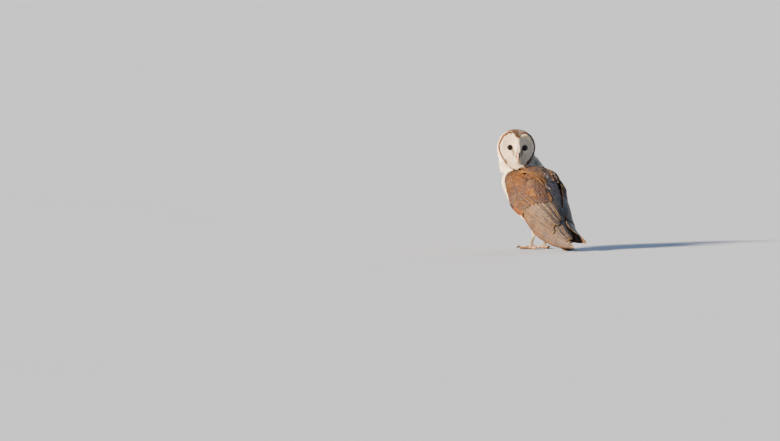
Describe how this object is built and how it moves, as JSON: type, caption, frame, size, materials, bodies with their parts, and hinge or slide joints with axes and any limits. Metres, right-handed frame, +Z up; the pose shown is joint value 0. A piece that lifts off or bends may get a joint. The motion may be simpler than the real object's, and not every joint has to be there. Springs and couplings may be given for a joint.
{
  "type": "barn owl model",
  "caption": "Life-size barn owl standing with folded wings, looking back over its left shoulder, with a pale heart-shaped face",
  "frame": {"origin": "On the floor under the owl, at the middle of its bounding box", "axes": "+Z is up and is the owl's longest way. Its breast faces -Y, its tail lies at +Y, and its left wing is at +X."},
  "size_m": [0.1452, 0.2804, 0.2989],
  "materials": {
    "crown": "soft feathers, matt",
    "disc": "fine stiff feathers, matt",
    "ruff_and_neck": "soft feathers, matt",
    "body": "soft feathers, matt",
    "coverts": "layered feathers, matt",
    "flight": "smooth feather vanes, matt",
    "leggings": "short downy feathers, matt",
    "toes": "fine scales, matt",
    "claws": "smooth horn, half gloss",
    "bill": "smooth horn, half gloss",
    "eyes": "wet, gloss"
  },
  "bodies": {
    "root": {"head": "crown", "facial_disc": "disc", "eye_left": "eyes", "eye_right": "eyes", "bill_upper": "bill", "bill_lower": "bill", "neck": "ruff_and_neck", "trunk": "body", "tail": "flight", "wing_left_coverts": "coverts", "wing_left_secondaries": "flight", "wing_left_primaries": "flight", "thigh_left": "leggings", "tarsus_left": "leggings", "foot_left": "toes", "toe_left_inner": "toes", "claw_left_inner": "claws", "toe_left_middle": "toes", "claw_left_middle": "claws", "toe_left_outer": "toes", "claw_left_outer": "claws", "toe_left_hallux": "toes", "claw_left_hallux": "claws", "wing_right_coverts": "coverts", "wing_right_secondaries": "flight", "wing_right_primaries": "flight", "thigh_right": "leggings", "tarsus_right": "leggings", "foot_right": "toes", "toe_right_inner": "toes", "claw_right_inner": "claws", "toe_right_middle": "toes", "claw_right_middle": "claws", "toe_right_outer": "toes", "claw_right_outer": "claws", "toe_right_hallux": "toes", "claw_right_hallux": "claws"}
  },
  "joints": []
}
